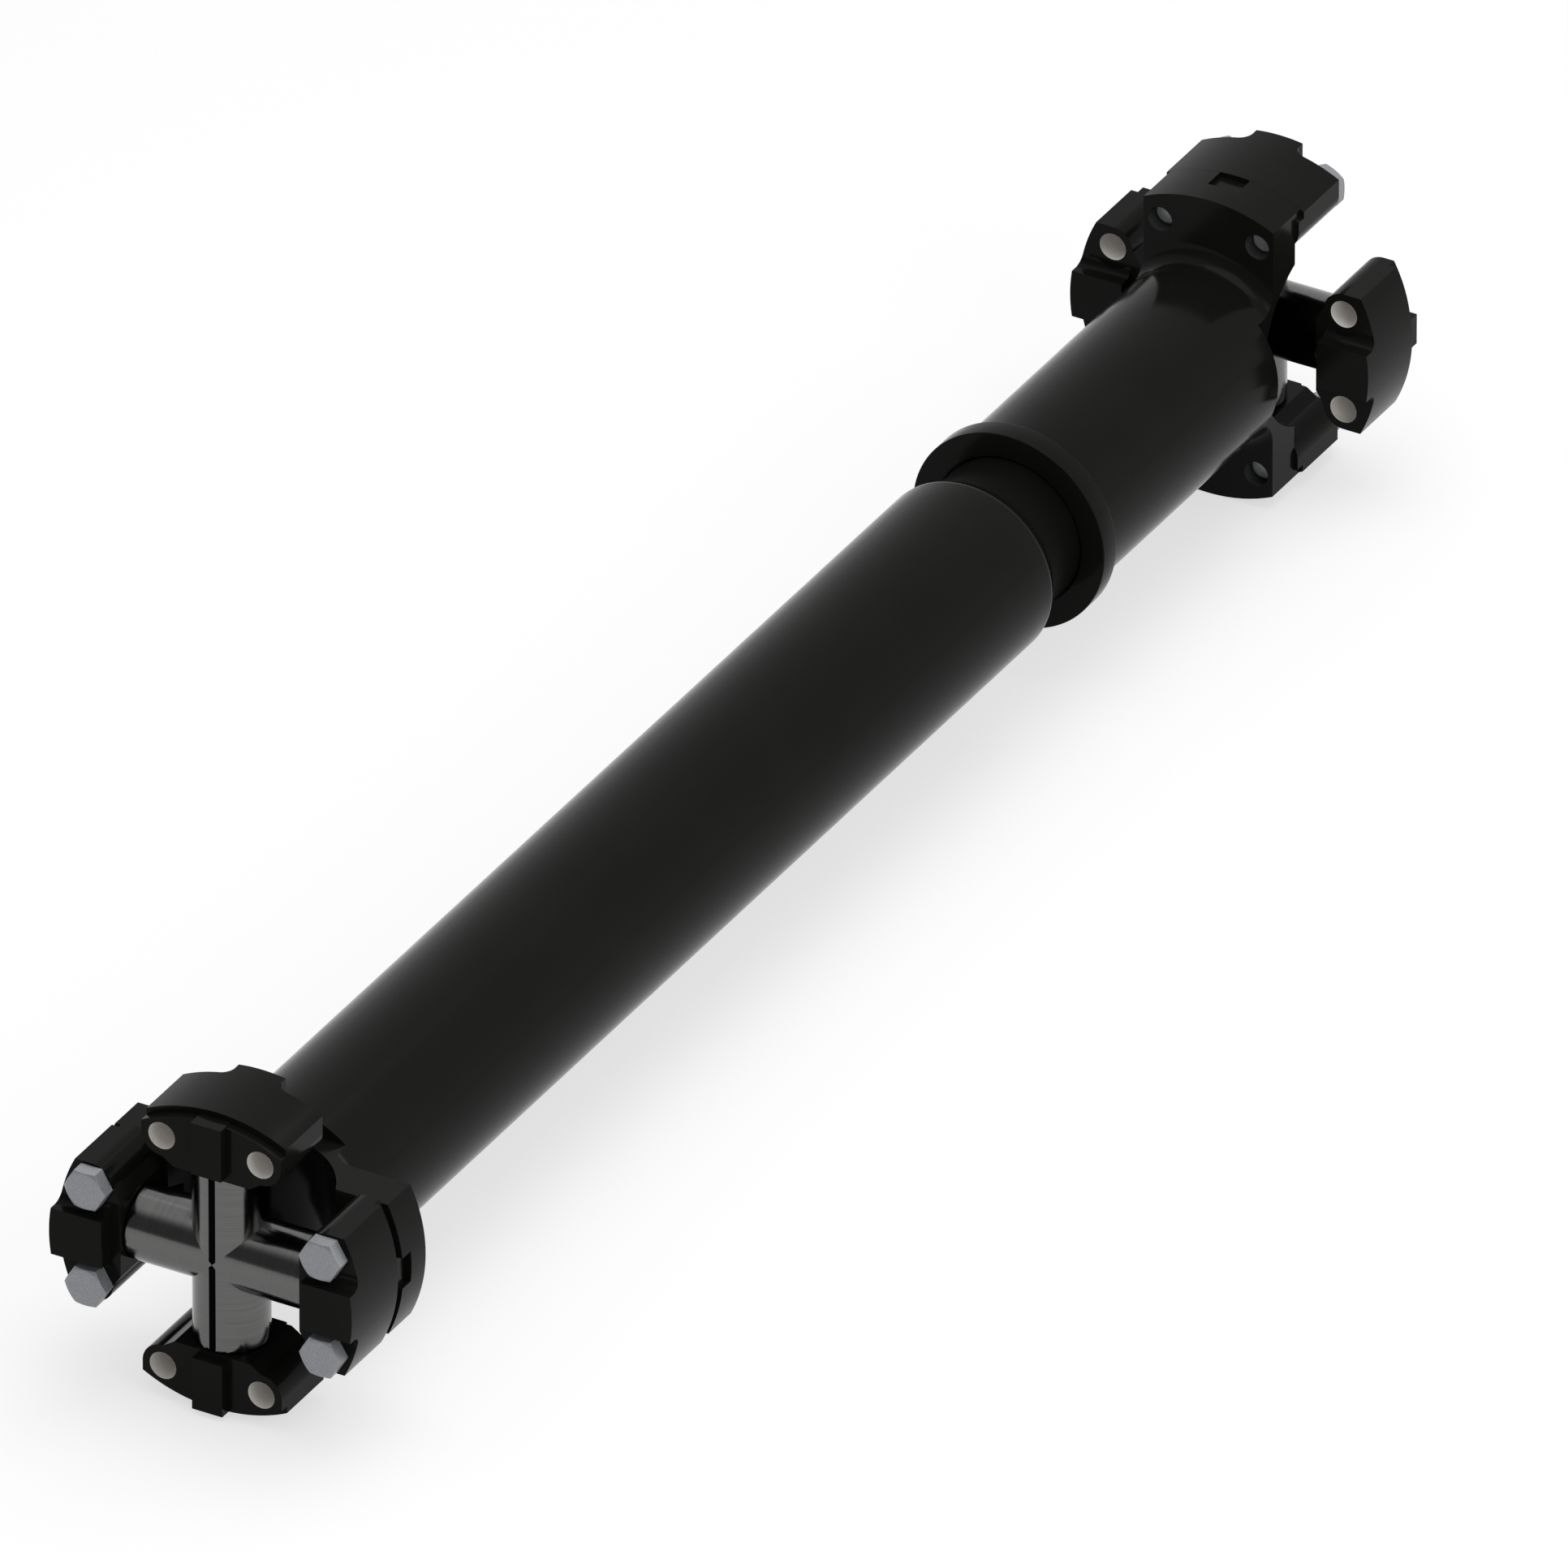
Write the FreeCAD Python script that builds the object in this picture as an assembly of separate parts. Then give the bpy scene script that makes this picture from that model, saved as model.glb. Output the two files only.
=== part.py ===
import FreeCAD, Part
import math
import os

# A telescopic drive shaft with a wing bearing universal joint at each end.
# Millimetres. +Y runs along the shaft from the near end to the far end and +Z is up.
# The origin is the centre of the near end's four mounting bolts, on the shaft's axis.

V = FreeCAD.Vector

# Whole shaft
CROSS_SPACING = 1192.0      # between the centres of the two crosses
SWING_R = 100.0             # outer radius of the bearing blocks and of the yoke plates

# Bearing block, seen along the shaft
MOUNT_WALL = 3.9            # bore to mounting face
SEAT_DEPTH = 25.0           # trunnion axis to the face under the bolt heads
RIDGE_RISE = 11.0           # that face to the crown over the bearing
RIDGE_HALF = 15.5           # half width of that crown
RIDGE_HOLLOW = 6.5          # hollow at the crown's foot, on each side
BLOCK_LENGTH = 41.0         # swing radius to the block's inner end
RIDGE_STEP = 6.5            # the block's inner end to the crown's
NECK_HALF = 25.0            # half width of the block at its inner end
EAR_R = 13.5                # round each mounting bolt
CAP_THICK = 8.5             # closed end of the bore
REBATE_DEPTH = 6.0          # rebate round the mounting side, along the shaft
REBATE_STEP = 4.0           # the same rebate, towards the shaft's axis

# Key between a block and what it is bolted to
KEY_WIDTH = 20.0
KEY_HEIGHT = 6.0
KEY_PROUD = 0.4             # outer end of the key past the rebate
KEY_STEP = 3.0              # the block's inner end to the key's
KEY_FIT = 0.05              # clearance on each side of the key
KEY_FLOOR_GAP = 3.5         # key to the keyway's floor

# Mounting bolts
BOLT_D = 16.0
BOLT_HOLE_FIT = 1.5         # hole over bolt, in diameter
BOLT_PITCH = 65.0           # between the two bolts of one block
BOLT_ROW_INSET = 22.5       # swing radius to the line through those two bolts
BOLT_GRIP = 18.0            # mounting face to the bolt's tip
BOLT_TIP_BEVEL = 1.5
HEAD_FLATS = 24.0
HEAD_HEIGHT = 10.0
SPOTFACE_GAP = 0.6          # flat left round the corners of a bolt head

# Cross and its needle bearings
ARM_D = 45.5
JOURNAL_D = 26.0
ARM_GAP = 0.5               # between a cross arm's shoulder and the block
ROLLER_D = 6.0
ROLLER_GAP = 0.2            # least gap between two rollers
ROLLER_FIT = 0.05           # clearance of a roller on the journal and in the bore
SEAL_LENGTH = 5.0
SEAL_FIT = 0.05
SEAL_GROOVE = 2.0           # width and half depth of the groove behind the seal's lip
WASHER_THICK = 3.2
WASHER_HOLE_D = 8.0
END_PLAY = 0.3              # along a trunnion, at the rollers and at the thrust washer

# Yokes
PLATE_THICK = 26.0
BOLT_EDGE = 11.0            # bolt's axis to the flat side of a yoke's arm
CHANNEL_GAP = 1.0           # block's inner end to the round channel that the cross turns in
SHOULDER_STEP = 7.0         # that channel's bottom to the shoulders beside the arms
CROTCH_LENGTH = 35.0        # that channel's bottom to the weld on the tube
FLARE_R = 11.5              # hollow between the plate's back and the barrel
SPIGOT_LENGTH = 20.0
CUP_R = 36.0                # hollow in the near yoke's spigot
CUP_DEPTH = 26.0
RIM_FIT = 0.1               # far yoke's rim to the rebate of the blocks that it holds

# Tubes
TUBE_D = 114.3
TUBE_WALL = 6.3
TUBE_BEVEL_LENGTH = 9.0
TUBE_BEVEL_DEPTH = 4.5
COVER_LENGTH = 192.0        # collar's face to the far yoke's weld
OPEN_LENGTH = 40.0          # main tube's end to the collar's face
MUFF_CLEARANCE = 3.35       # between the muff and the cover tube's bore
MUFF_SPIGOT = 30.0
MUFF_LENGTH = 172.0         # from the main tube's end to the muff's end
MUFF_RELIEF_LENGTH = 20.0
MUFF_RELIEF_STEP = 5.0      # spline tips to the relief behind them
COLLAR_STEP = 6.85          # how far the collar stands out from the cover tube
COLLAR_WIDTH = 14.5
COLLAR_LIP = 6.5
COLLAR_GAP = 1.0            # between the muff and the collar's bore
WIPER_WIDTH = 8.0
WIPER_FIT = 0.05
WIPER_LIP = 1.2             # thickness of the wiper's two lips

# Sliding spline
SPLINE_TEETH = 28
SPLINE_TIP_R = 35.0
SPLINE_DEPTH = 3.0
SPLINE_TOOTH_SHARE = 0.56   # width of a tooth at its root, as a share of the pitch
SPLINE_TIP_SHARE = 0.36     # the same at its tip
SPLINE_FLANK_FIT = 0.06
SPLINE_TIP_GAP = 0.3
SPLINE_INSET = 15.0         # main tube's end to the spline shaft's free end
SPLINE_BEVEL = 2.0
SPLINE_NECK = 4.0

# Places along a trunnion, from the shaft's axis
BLOCK_INNER_R = SWING_R - BLOCK_LENGTH
BOLT_ROW_R = SWING_R - BOLT_ROW_INSET
KEY_OUTER_R = SWING_R - REBATE_STEP + KEY_PROUD
BORE_END_R = SWING_R - CAP_THICK
JOURNAL_END_R = BORE_END_R - WASHER_THICK - END_PLAY

# Sizes of the bearing and of the block round it
BORE_R = JOURNAL_D / 2 + ROLLER_D + 2 * ROLLER_FIT
PITCH_R = JOURNAL_D / 2 + ROLLER_FIT + ROLLER_D / 2
ROLLER_COUNT = int(math.pi / math.asin((ROLLER_D + ROLLER_GAP) / (2 * PITCH_R)))
MOUNT_DEPTH = BORE_R + MOUNT_WALL
RIDGE_DEPTH = SEAT_DEPTH + RIDGE_RISE
BLOCK_HALF = BOLT_PITCH / 2 + EAR_R
BOLT_HOLE_R = (BOLT_D + BOLT_HOLE_FIT) / 2
SPOTFACE_R = HEAD_FLATS / math.sqrt(3) + SPOTFACE_GAP

# Places along the shaft inboard of a cross centre
PLATE_BACK = MOUNT_DEPTH + PLATE_THICK
CHANNEL_R = BLOCK_INNER_R + CHANNEL_GAP
BARREL_START = PLATE_BACK + FLARE_R
SHOULDER = CHANNEL_R + SHOULDER_STEP
WELD_LINE = CHANNEL_R + CROTCH_LENGTH
SPIGOT_END = WELD_LINE + SPIGOT_LENGTH

# Radii of the tubes and sleeves
TUBE_R = TUBE_D / 2
TUBE_BORE_R = TUBE_R - TUBE_WALL
MUFF_R = TUBE_BORE_R - MUFF_CLEARANCE
COLLAR_BORE_R = MUFF_R + COLLAR_GAP
SPLINE_ROOT_R = SPLINE_TIP_R - SPLINE_DEPTH

# Places along the shaft from the near cross centre
COLLAR_FACE = CROSS_SPACING - WELD_LINE - COVER_LENGTH
TUBE_END = COLLAR_FACE - OPEN_LENGTH
SPLINE_START = TUBE_END + SPLINE_INSET
NEAR_CROSS_Y = MOUNT_DEPTH
FAR_CROSS_Y = NEAR_CROSS_Y + CROSS_SPACING

X_AXIS, Y_AXIS, Z_AXIS = V(1, 0, 0), V(0, 1, 0), V(0, 0, 1)
LEFT, RIGHT, TOP, BOTTOM = V(-1, 0, 0), V(1, 0, 0), V(0, 0, 1), V(0, 0, -1)
OVERCUT = 2.0               # how far a cutting tool runs past the metal


# Small helpers
def arc(start, middle, end):
    return Part.Arc(start, middle, end).toShape()


def line(start, end):
    return Part.makeLine(start, end)


def box(x0, x1, y0, y1, z0, z1):
    return Part.makeBox(x1 - x0, y1 - y0, z1 - z0, V(x0, y0, z0))


def turned(points, axis_point, axis):
    """A solid of revolution from a closed outline of points."""
    face = Part.Face(Part.makePolygon(points + points[:1]))
    return face.revolve(axis_point, axis, 360)


def ring(outer_r, inner_r, length, base, axis):
    outer = Part.makeCylinder(outer_r, length, base, axis)
    return outer.cut(Part.makeCylinder(inner_r, length + 2 * OVERCUT, base - axis * OVERCUT, axis))


def placed(shape, radial, axial, centre_y):
    """Moves a shape from joint axes (X outwards along an arm, Z along the shaft) to its place."""
    across = axial.cross(radial)
    matrix = FreeCAD.Matrix(
        radial.x, across.x, axial.x, 0,
        radial.y, across.y, axial.y, centre_y,
        radial.z, across.z, axial.z, 0,
        0, 0, 0, 1)
    moved = shape.copy()
    moved.Placement = FreeCAD.Placement(matrix).multiply(moved.Placement)
    return moved


def save(name, shape):
    shape.exportStep("parts/" + name + ".step")


# Bearing blocks, in joint axes: X outwards along the trunnion, Z towards the mounting face
def bolt_places():
    return [(BOLT_ROW_R, side * BOLT_PITCH / 2) for side in (-1, 1)]


def block_slab(outer_r, low, high):
    """The block's outline with an arc outside and an ear round each bolt, given a thickness."""
    corner_x = math.sqrt(outer_r ** 2 - BLOCK_HALF ** 2)
    bolt_y = BOLT_PITCH / 2
    slant = EAR_R * math.sqrt(0.5)
    edges = [arc(V(corner_x, BLOCK_HALF, low), V(outer_r, 0, low), V(corner_x, -BLOCK_HALF, low))]
    edges.append(line(V(corner_x, -BLOCK_HALF, low), V(BOLT_ROW_R, -BLOCK_HALF, low)))
    edges.append(arc(V(BOLT_ROW_R, -BLOCK_HALF, low), V(BOLT_ROW_R - slant, -bolt_y - slant, low),
                     V(BOLT_ROW_R - EAR_R, -bolt_y, low)))
    edges.append(line(V(BOLT_ROW_R - EAR_R, -bolt_y, low), V(BLOCK_INNER_R, -NECK_HALF, low)))
    edges.append(line(V(BLOCK_INNER_R, -NECK_HALF, low), V(BLOCK_INNER_R, NECK_HALF, low)))
    edges.append(line(V(BLOCK_INNER_R, NECK_HALF, low), V(BOLT_ROW_R - EAR_R, bolt_y, low)))
    edges.append(arc(V(BOLT_ROW_R - EAR_R, bolt_y, low), V(BOLT_ROW_R - slant, bolt_y + slant, low),
                     V(BOLT_ROW_R, BLOCK_HALF, low)))
    edges.append(line(V(BOLT_ROW_R, BLOCK_HALF, low), V(corner_x, BLOCK_HALF, low)))
    return Part.Face(Part.Wire(edges)).extrude(V(0, 0, high - low))


def block_ridge():
    """The crown over the bearing, with a wall and a hollow down to each bolt seat."""
    foot = RIDGE_HALF + RIDGE_HOLLOW
    wall = -SEAT_DEPTH - RIDGE_HOLLOW
    hollow = RIDGE_HOLLOW * (1 - math.sqrt(0.5))
    x = BLOCK_INNER_R + RIDGE_STEP
    edges = [
        line(V(x, -foot, -SEAT_DEPTH), V(x, foot, -SEAT_DEPTH)),
        arc(V(x, foot, -SEAT_DEPTH), V(x, RIDGE_HALF + hollow, -SEAT_DEPTH - hollow),
            V(x, RIDGE_HALF, wall)),
        line(V(x, RIDGE_HALF, wall), V(x, RIDGE_HALF, -RIDGE_DEPTH)),
        line(V(x, RIDGE_HALF, -RIDGE_DEPTH), V(x, -RIDGE_HALF, -RIDGE_DEPTH)),
        line(V(x, -RIDGE_HALF, -RIDGE_DEPTH), V(x, -RIDGE_HALF, wall)),
        arc(V(x, -RIDGE_HALF, wall), V(x, -RIDGE_HALF - hollow, -SEAT_DEPTH - hollow),
            V(x, -foot, -SEAT_DEPTH)),
    ]
    ridge = Part.Face(Part.Wire(edges)).extrude(V(SWING_R, 0, 0))
    return ridge.common(Part.makeCylinder(SWING_R, RIDGE_RISE, V(0, 0, -RIDGE_DEPTH), Z_AXIS))


def bearing_block():
    step = MOUNT_DEPTH - REBATE_DEPTH
    block = block_slab(SWING_R, -SEAT_DEPTH, step)
    block = block.fuse(block_slab(SWING_R - REBATE_STEP, step, MOUNT_DEPTH)).fuse(block_ridge())
    half_key = KEY_WIDTH / 2
    block = block.fuse(box(BLOCK_INNER_R + KEY_STEP, KEY_OUTER_R, -half_key, half_key,
                           step, MOUNT_DEPTH + KEY_HEIGHT))
    bore = Part.makeCylinder(BORE_R, BORE_END_R - BLOCK_INNER_R + OVERCUT,
                             V(BLOCK_INNER_R - OVERCUT, 0, 0), X_AXIS)
    block = block.cut(bore)
    low = -RIDGE_DEPTH - OVERCUT
    for x, y in bolt_places():
        block = block.cut(Part.makeCylinder(BOLT_HOLE_R, 2 * RIDGE_DEPTH, V(x, y, low), Z_AXIS))
        block = block.cut(Part.makeCylinder(SPOTFACE_R, -SEAT_DEPTH - low, V(x, y, low), Z_AXIS))
    return block.removeSplitter()


# What a block holds: seal, rollers and thrust washer
def seal():
    """A ring seal with a groove behind its lip."""
    inner = JOURNAL_D / 2 + SEAL_FIT
    start, end = BLOCK_INNER_R, BLOCK_INNER_R + SEAL_LENGTH
    middle = (inner + BORE_R) / 2
    outline = [
        V(start, inner, 0), V(start, BORE_R, 0), V(end, BORE_R, 0),
        V(end, middle + SEAL_GROOVE / 2, 0), V(end - SEAL_GROOVE, middle + SEAL_GROOVE / 2, 0),
        V(end - SEAL_GROOVE, middle - SEAL_GROOVE / 2, 0), V(end, middle - SEAL_GROOVE / 2, 0),
        V(end, inner, 0),
    ]
    return turned(outline, V(0, 0, 0), X_AXIS)


def rollers():
    start = BLOCK_INNER_R + SEAL_LENGTH + END_PLAY
    length = JOURNAL_END_R - start
    group = []
    for index in range(ROLLER_COUNT):
        turn = 2 * math.pi * index / ROLLER_COUNT
        base = V(start, PITCH_R * math.cos(turn), PITCH_R * math.sin(turn))
        group.append(Part.makeCylinder(ROLLER_D / 2, length, base, X_AXIS))
    return Part.makeCompound(group)


def thrust_washer():
    return ring(BORE_R, WASHER_HOLE_D / 2, WASHER_THICK, V(JOURNAL_END_R + END_PLAY, 0, 0), X_AXIS)


# Cross, in world directions round its own centre
def cross():
    shoulder = BLOCK_INNER_R - ARM_GAP
    body = None
    for axis in (X_AXIS, Z_AXIS):
        arm = Part.makeCylinder(ARM_D / 2, 2 * shoulder, axis * -shoulder, axis)
        journal = Part.makeCylinder(JOURNAL_D / 2, 2 * JOURNAL_END_R, axis * -JOURNAL_END_R, axis)
        arm = arm.fuse(journal)
        body = arm if body is None else body.fuse(arm)
    return body.removeSplitter()


# Bolts, in joint axes
def bolt(x, y):
    corner_r = HEAD_FLATS / math.sqrt(3)
    corners = []
    for index in range(7):
        turn = math.radians(60 * index)
        corners.append(V(x + corner_r * math.cos(turn), y + corner_r * math.sin(turn),
                         -SEAT_DEPTH - HEAD_HEIGHT))
    head = Part.Face(Part.makePolygon(corners)).extrude(V(0, 0, HEAD_HEIGHT))
    radius, tip = BOLT_D / 2, MOUNT_DEPTH + BOLT_GRIP
    shank = turned([V(x, y, -SEAT_DEPTH), V(x + radius, y, -SEAT_DEPTH),
                    V(x + radius, y, tip - BOLT_TIP_BEVEL),
                    V(x + radius - BOLT_TIP_BEVEL, y, tip), V(x, y, tip)],
                   V(x, y, 0), Z_AXIS)
    return head.fuse(shank)


# Yokes, in joint axes: X outwards along the bolted arms, Z inboard from the cross centre
def yoke_turning():
    """The forging as it would be turned: plate, flare, barrel and the spigot for the tube."""
    bend = math.sqrt(0.5)
    flare_r = TUBE_R + FLARE_R
    flare_middle = V(TUBE_R + FLARE_R * (1 - bend), 0, BARREL_START - FLARE_R * bend)
    edges = [
        line(V(0, 0, 0), V(SWING_R, 0, 0)),
        line(V(SWING_R, 0, 0), V(SWING_R, 0, PLATE_BACK)),
        line(V(SWING_R, 0, PLATE_BACK), V(flare_r, 0, PLATE_BACK)),
        arc(V(flare_r, 0, PLATE_BACK), flare_middle, V(TUBE_R, 0, BARREL_START)),
        line(V(TUBE_R, 0, BARREL_START), V(TUBE_R, 0, WELD_LINE)),
        line(V(TUBE_R, 0, WELD_LINE), V(TUBE_BORE_R, 0, WELD_LINE)),
        line(V(TUBE_BORE_R, 0, WELD_LINE), V(TUBE_BORE_R, 0, SPIGOT_END)),
        line(V(TUBE_BORE_R, 0, SPIGOT_END), V(0, 0, SPIGOT_END)),
        line(V(0, 0, SPIGOT_END), V(0, 0, 0)),
    ]
    return Part.Face(Part.Wire(edges)).revolve(V(0, 0, 0), Z_AXIS, 360)


def rebate_rim():
    """A rim on the plates that fills the rebate of the blocks bolted to them."""
    low = MOUNT_DEPTH - REBATE_DEPTH + RIM_FIT
    return ring(SWING_R, SWING_R - REBATE_STEP + RIM_FIT, MOUNT_DEPTH - low, V(0, 0, low), Z_AXIS)


def yoke(rimmed):
    """A forging with two arms, each with a keyway and two tapped holes for a bearing block."""
    body = yoke_turning()
    reach = SWING_R + OVERCUT
    arm_half = BOLT_PITCH / 2 + BOLT_EDGE
    body = body.cut(box(-reach, reach, -reach, reach, -OVERCUT, MOUNT_DEPTH))
    if rimmed:
        body = body.fuse(rebate_rim())
    for side in (-1, 1):
        low, high = sorted((side * arm_half, side * reach))
        body = body.cut(box(-reach, reach, low, high, 0, SHOULDER))
    body = body.cut(Part.makeCylinder(CHANNEL_R, 2 * reach, V(0, -reach, 0), Y_AXIS))
    half_key = KEY_WIDTH / 2 + KEY_FIT
    keyway_floor = MOUNT_DEPTH + KEY_HEIGHT + KEY_FLOOR_GAP
    for turn in (0, 180):
        tools = [box(0, reach, -half_key, half_key, 0, keyway_floor)]
        for x, y in bolt_places():
            tools.append(Part.makeCylinder(BOLT_D / 2, BARREL_START, V(x, y, 0), Z_AXIS))
        for tool in tools:
            tool.rotate(V(0, 0, 0), Z_AXIS, turn)
            body = body.cut(tool)
    return body.removeSplitter()


def tube_yoke():
    return yoke(False).cut(Part.makeCylinder(CUP_R, CUP_DEPTH + OVERCUT, V(0, 0, SPIGOT_END - CUP_DEPTH),
                                             Z_AXIS))


# Spline teeth: one outline serves the shaft and, made larger by the clearances, the muff's bore
def spline_prism(flank_fit, tip_gap, root_gap, low, length):
    pitch = 2 * math.pi / SPLINE_TEETH
    root_r, tip_r = SPLINE_ROOT_R + root_gap, SPLINE_TIP_R + tip_gap
    half_root = pitch * SPLINE_TOOTH_SHARE / 2 + flank_fit / root_r
    half_tip = pitch * SPLINE_TIP_SHARE / 2 + flank_fit / tip_r

    def at(radius, angle):
        return V(radius * math.cos(angle), radius * math.sin(angle), low)

    edges = []
    for index in range(SPLINE_TEETH):
        middle = index * pitch
        edges.append(line(at(root_r, middle - half_root), at(tip_r, middle - half_tip)))
        edges.append(arc(at(tip_r, middle - half_tip), at(tip_r, middle), at(tip_r, middle + half_tip)))
        edges.append(line(at(tip_r, middle + half_tip), at(root_r, middle + half_root)))
        edges.append(arc(at(root_r, middle + half_root), at(root_r, middle + pitch / 2),
                         at(root_r, middle + pitch - half_root)))
    return Part.Face(Part.Wire(edges)).extrude(V(0, 0, length))


def slip_yoke():
    """The far yoke with its spline shaft, which runs inboard through the cover tube."""
    shaft_end = CROSS_SPACING - SPLINE_START
    neck = Part.makeCylinder(SPLINE_ROOT_R, SPLINE_NECK + OVERCUT, V(0, 0, SPIGOT_END - OVERCUT), Z_AXIS)
    teeth_low = SPIGOT_END + SPLINE_NECK
    teeth = spline_prism(0, 0, 0, teeth_low, shaft_end - teeth_low)
    nose = turned([V(0, 0, teeth_low - OVERCUT), V(SPLINE_TIP_R + OVERCUT, 0, teeth_low - OVERCUT),
                   V(SPLINE_TIP_R + OVERCUT, 0, shaft_end - SPLINE_BEVEL - OVERCUT),
                   V(SPLINE_TIP_R - SPLINE_BEVEL, 0, shaft_end), V(0, 0, shaft_end)],
                  V(0, 0, 0), Z_AXIS)
    return yoke(True).fuse(neck).fuse(teeth.common(nose)).removeSplitter()


# Tubes and sleeves, in world axes with lengths from the near cross centre
def along(distance):
    return V(0, NEAR_CROSS_Y + distance, 0)


def turned_along(outline):
    return turned([along(y) + V(r, 0, 0) for r, y in outline], V(0, 0, 0), Y_AXIS)


def main_tube():
    return turned_along([
        (TUBE_BORE_R, WELD_LINE), (TUBE_R, WELD_LINE), (TUBE_R, TUBE_END - TUBE_BEVEL_LENGTH),
        (TUBE_R - TUBE_BEVEL_DEPTH, TUBE_END), (TUBE_BORE_R, TUBE_END),
    ])


def spline_muff():
    start, end = TUBE_END - MUFF_SPIGOT, TUBE_END + MUFF_LENGTH
    body = turned_along([
        (0, start), (TUBE_BORE_R, start), (TUBE_BORE_R, TUBE_END), (MUFF_R, TUBE_END),
        (MUFF_R, end), (0, end),
    ])
    relief = Part.makeCylinder(SPLINE_TIP_R + MUFF_RELIEF_STEP, MUFF_RELIEF_LENGTH + OVERCUT,
                               along(start - OVERCUT), Y_AXIS)
    low = CROSS_SPACING - end - OVERCUT
    teeth = spline_prism(SPLINE_FLANK_FIT, SPLINE_TIP_GAP, SPLINE_TIP_GAP,
                         low, end - start + 2 * OVERCUT)
    return body.cut(relief).cut(placed(teeth, TOP, V(0, -1, 0), FAR_CROSS_Y))


def cover_tube():
    start = COLLAR_FACE + COLLAR_LIP
    return ring(TUBE_R, TUBE_BORE_R, CROSS_SPACING - WELD_LINE - start, along(start), Y_AXIS)


def cover_collar():
    lip, end = COLLAR_FACE + COLLAR_LIP, COLLAR_FACE + COLLAR_WIDTH
    outer_r = TUBE_R + COLLAR_STEP
    return turned_along([
        (COLLAR_BORE_R, COLLAR_FACE), (outer_r, COLLAR_FACE), (outer_r, end),
        (TUBE_R, end), (TUBE_R, lip), (COLLAR_BORE_R, lip),
    ])


def wiper_seal():
    start = COLLAR_FACE + COLLAR_LIP
    middle, end = start + WIPER_WIDTH / 2, start + WIPER_WIDTH
    inner = MUFF_R + WIPER_FIT
    return turned_along([
        (inner, start), (TUBE_BORE_R, start), (TUBE_BORE_R, end), (TUBE_BORE_R - WIPER_LIP, end),
        (TUBE_BORE_R - WIPER_LIP, middle), (inner + WIPER_LIP, middle), (inner + WIPER_LIP, end),
        (inner, end),
    ])


# Each joint: its centre, the way inboard, and the arms of its yoke blocks and of its flange blocks.
# A yoke block is bolted to the shaft's own yoke, and a flange block to the machine.
JOINTS = (
    ("near", NEAR_CROSS_Y, V(0, 1, 0), (("left", LEFT), ("right", RIGHT)),
     (("top", TOP), ("bottom", BOTTOM))),
    ("far", FAR_CROSS_Y, V(0, -1, 0), (("top", TOP), ("bottom", BOTTOM)),
     (("left", LEFT), ("right", RIGHT))),
)


def save_block(name, radial, facing, centre_y):
    """One bearing block with all that it holds."""
    for part, shape in BLOCK_PARTS.items():
        save(name + "_" + part, placed(shape, radial, facing, centre_y))


BLOCK_PARTS = {
    "bearing_block": bearing_block(),
    "rollers": rollers(),
    "thrust_washer": thrust_washer(),
    "trunnion_seal": seal(),
}

for end_name, centre_y, inboard, on_yoke, on_flange in JOINTS:
    cross_shape = cross()
    cross_shape.translate(V(0, centre_y, 0))
    save(end_name + "_cross", cross_shape)
    bolts = []
    for side, radial in on_yoke:
        save_block("yoke_" + end_name + "_" + side, radial, inboard, centre_y)
        bolts += [placed(bolt(x, y), radial, inboard, centre_y) for x, y in bolt_places()]
    save(end_name + "_bolts", Part.makeCompound(bolts))
    for side, radial in on_flange:
        save_block("flange_" + end_name + "_" + side, radial, inboard * -1, centre_y)

save("tube_yoke", placed(tube_yoke(), RIGHT, V(0, 1, 0), NEAR_CROSS_Y))
save("slip_yoke", placed(slip_yoke(), TOP, V(0, -1, 0), FAR_CROSS_Y))
save("main_tube", main_tube())
save("spline_muff", spline_muff())
save("cover_tube", cover_tube())
save("cover_collar", cover_collar())
save("wiper_seal", wiper_seal())
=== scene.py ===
"""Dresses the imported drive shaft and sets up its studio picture.

Every place and size is that of the CAD. The tubes, the muff, the collar, the crosses and the bolts are
made anew as smooth surfaces of two parameters. The forged yokes and bearing blocks are the CAD forms with
their edges eased, and the rollers, thrust washers and seals keep their CAD forms. Lengths are in metres,
+Y runs along the shaft from the near end to the far end and +Z is up.
"""

from __future__ import annotations

import logging
import math
from dataclasses import dataclass, field
from enum import Enum, IntEnum

import bmesh
import bpy
import numpy as np
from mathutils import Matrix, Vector

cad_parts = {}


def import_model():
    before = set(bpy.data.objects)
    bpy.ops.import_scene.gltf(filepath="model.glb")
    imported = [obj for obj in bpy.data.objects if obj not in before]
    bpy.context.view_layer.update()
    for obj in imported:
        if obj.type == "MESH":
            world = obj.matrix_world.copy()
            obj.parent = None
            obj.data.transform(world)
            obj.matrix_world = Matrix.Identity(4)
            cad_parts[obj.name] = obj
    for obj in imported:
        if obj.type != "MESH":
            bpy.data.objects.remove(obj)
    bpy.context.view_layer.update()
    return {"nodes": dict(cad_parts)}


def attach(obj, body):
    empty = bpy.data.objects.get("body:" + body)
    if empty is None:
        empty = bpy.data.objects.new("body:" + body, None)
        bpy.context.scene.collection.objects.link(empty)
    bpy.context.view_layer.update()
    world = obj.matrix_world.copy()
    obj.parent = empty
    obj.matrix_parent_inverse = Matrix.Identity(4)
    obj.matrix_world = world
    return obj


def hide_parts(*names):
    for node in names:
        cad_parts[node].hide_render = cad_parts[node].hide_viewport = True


Pair = tuple[float, float]
Triple = tuple[float, float, float]
Socket = bpy.types.NodeSocket

LOG = logging.getLogger("drive_shaft")
WHITE = (1.0, 1.0, 1.0, 1.0)
ORIGIN = np.zeros(3)
ALONG_SHAFT = np.array([0.0, 1.0, 0.0])

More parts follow.
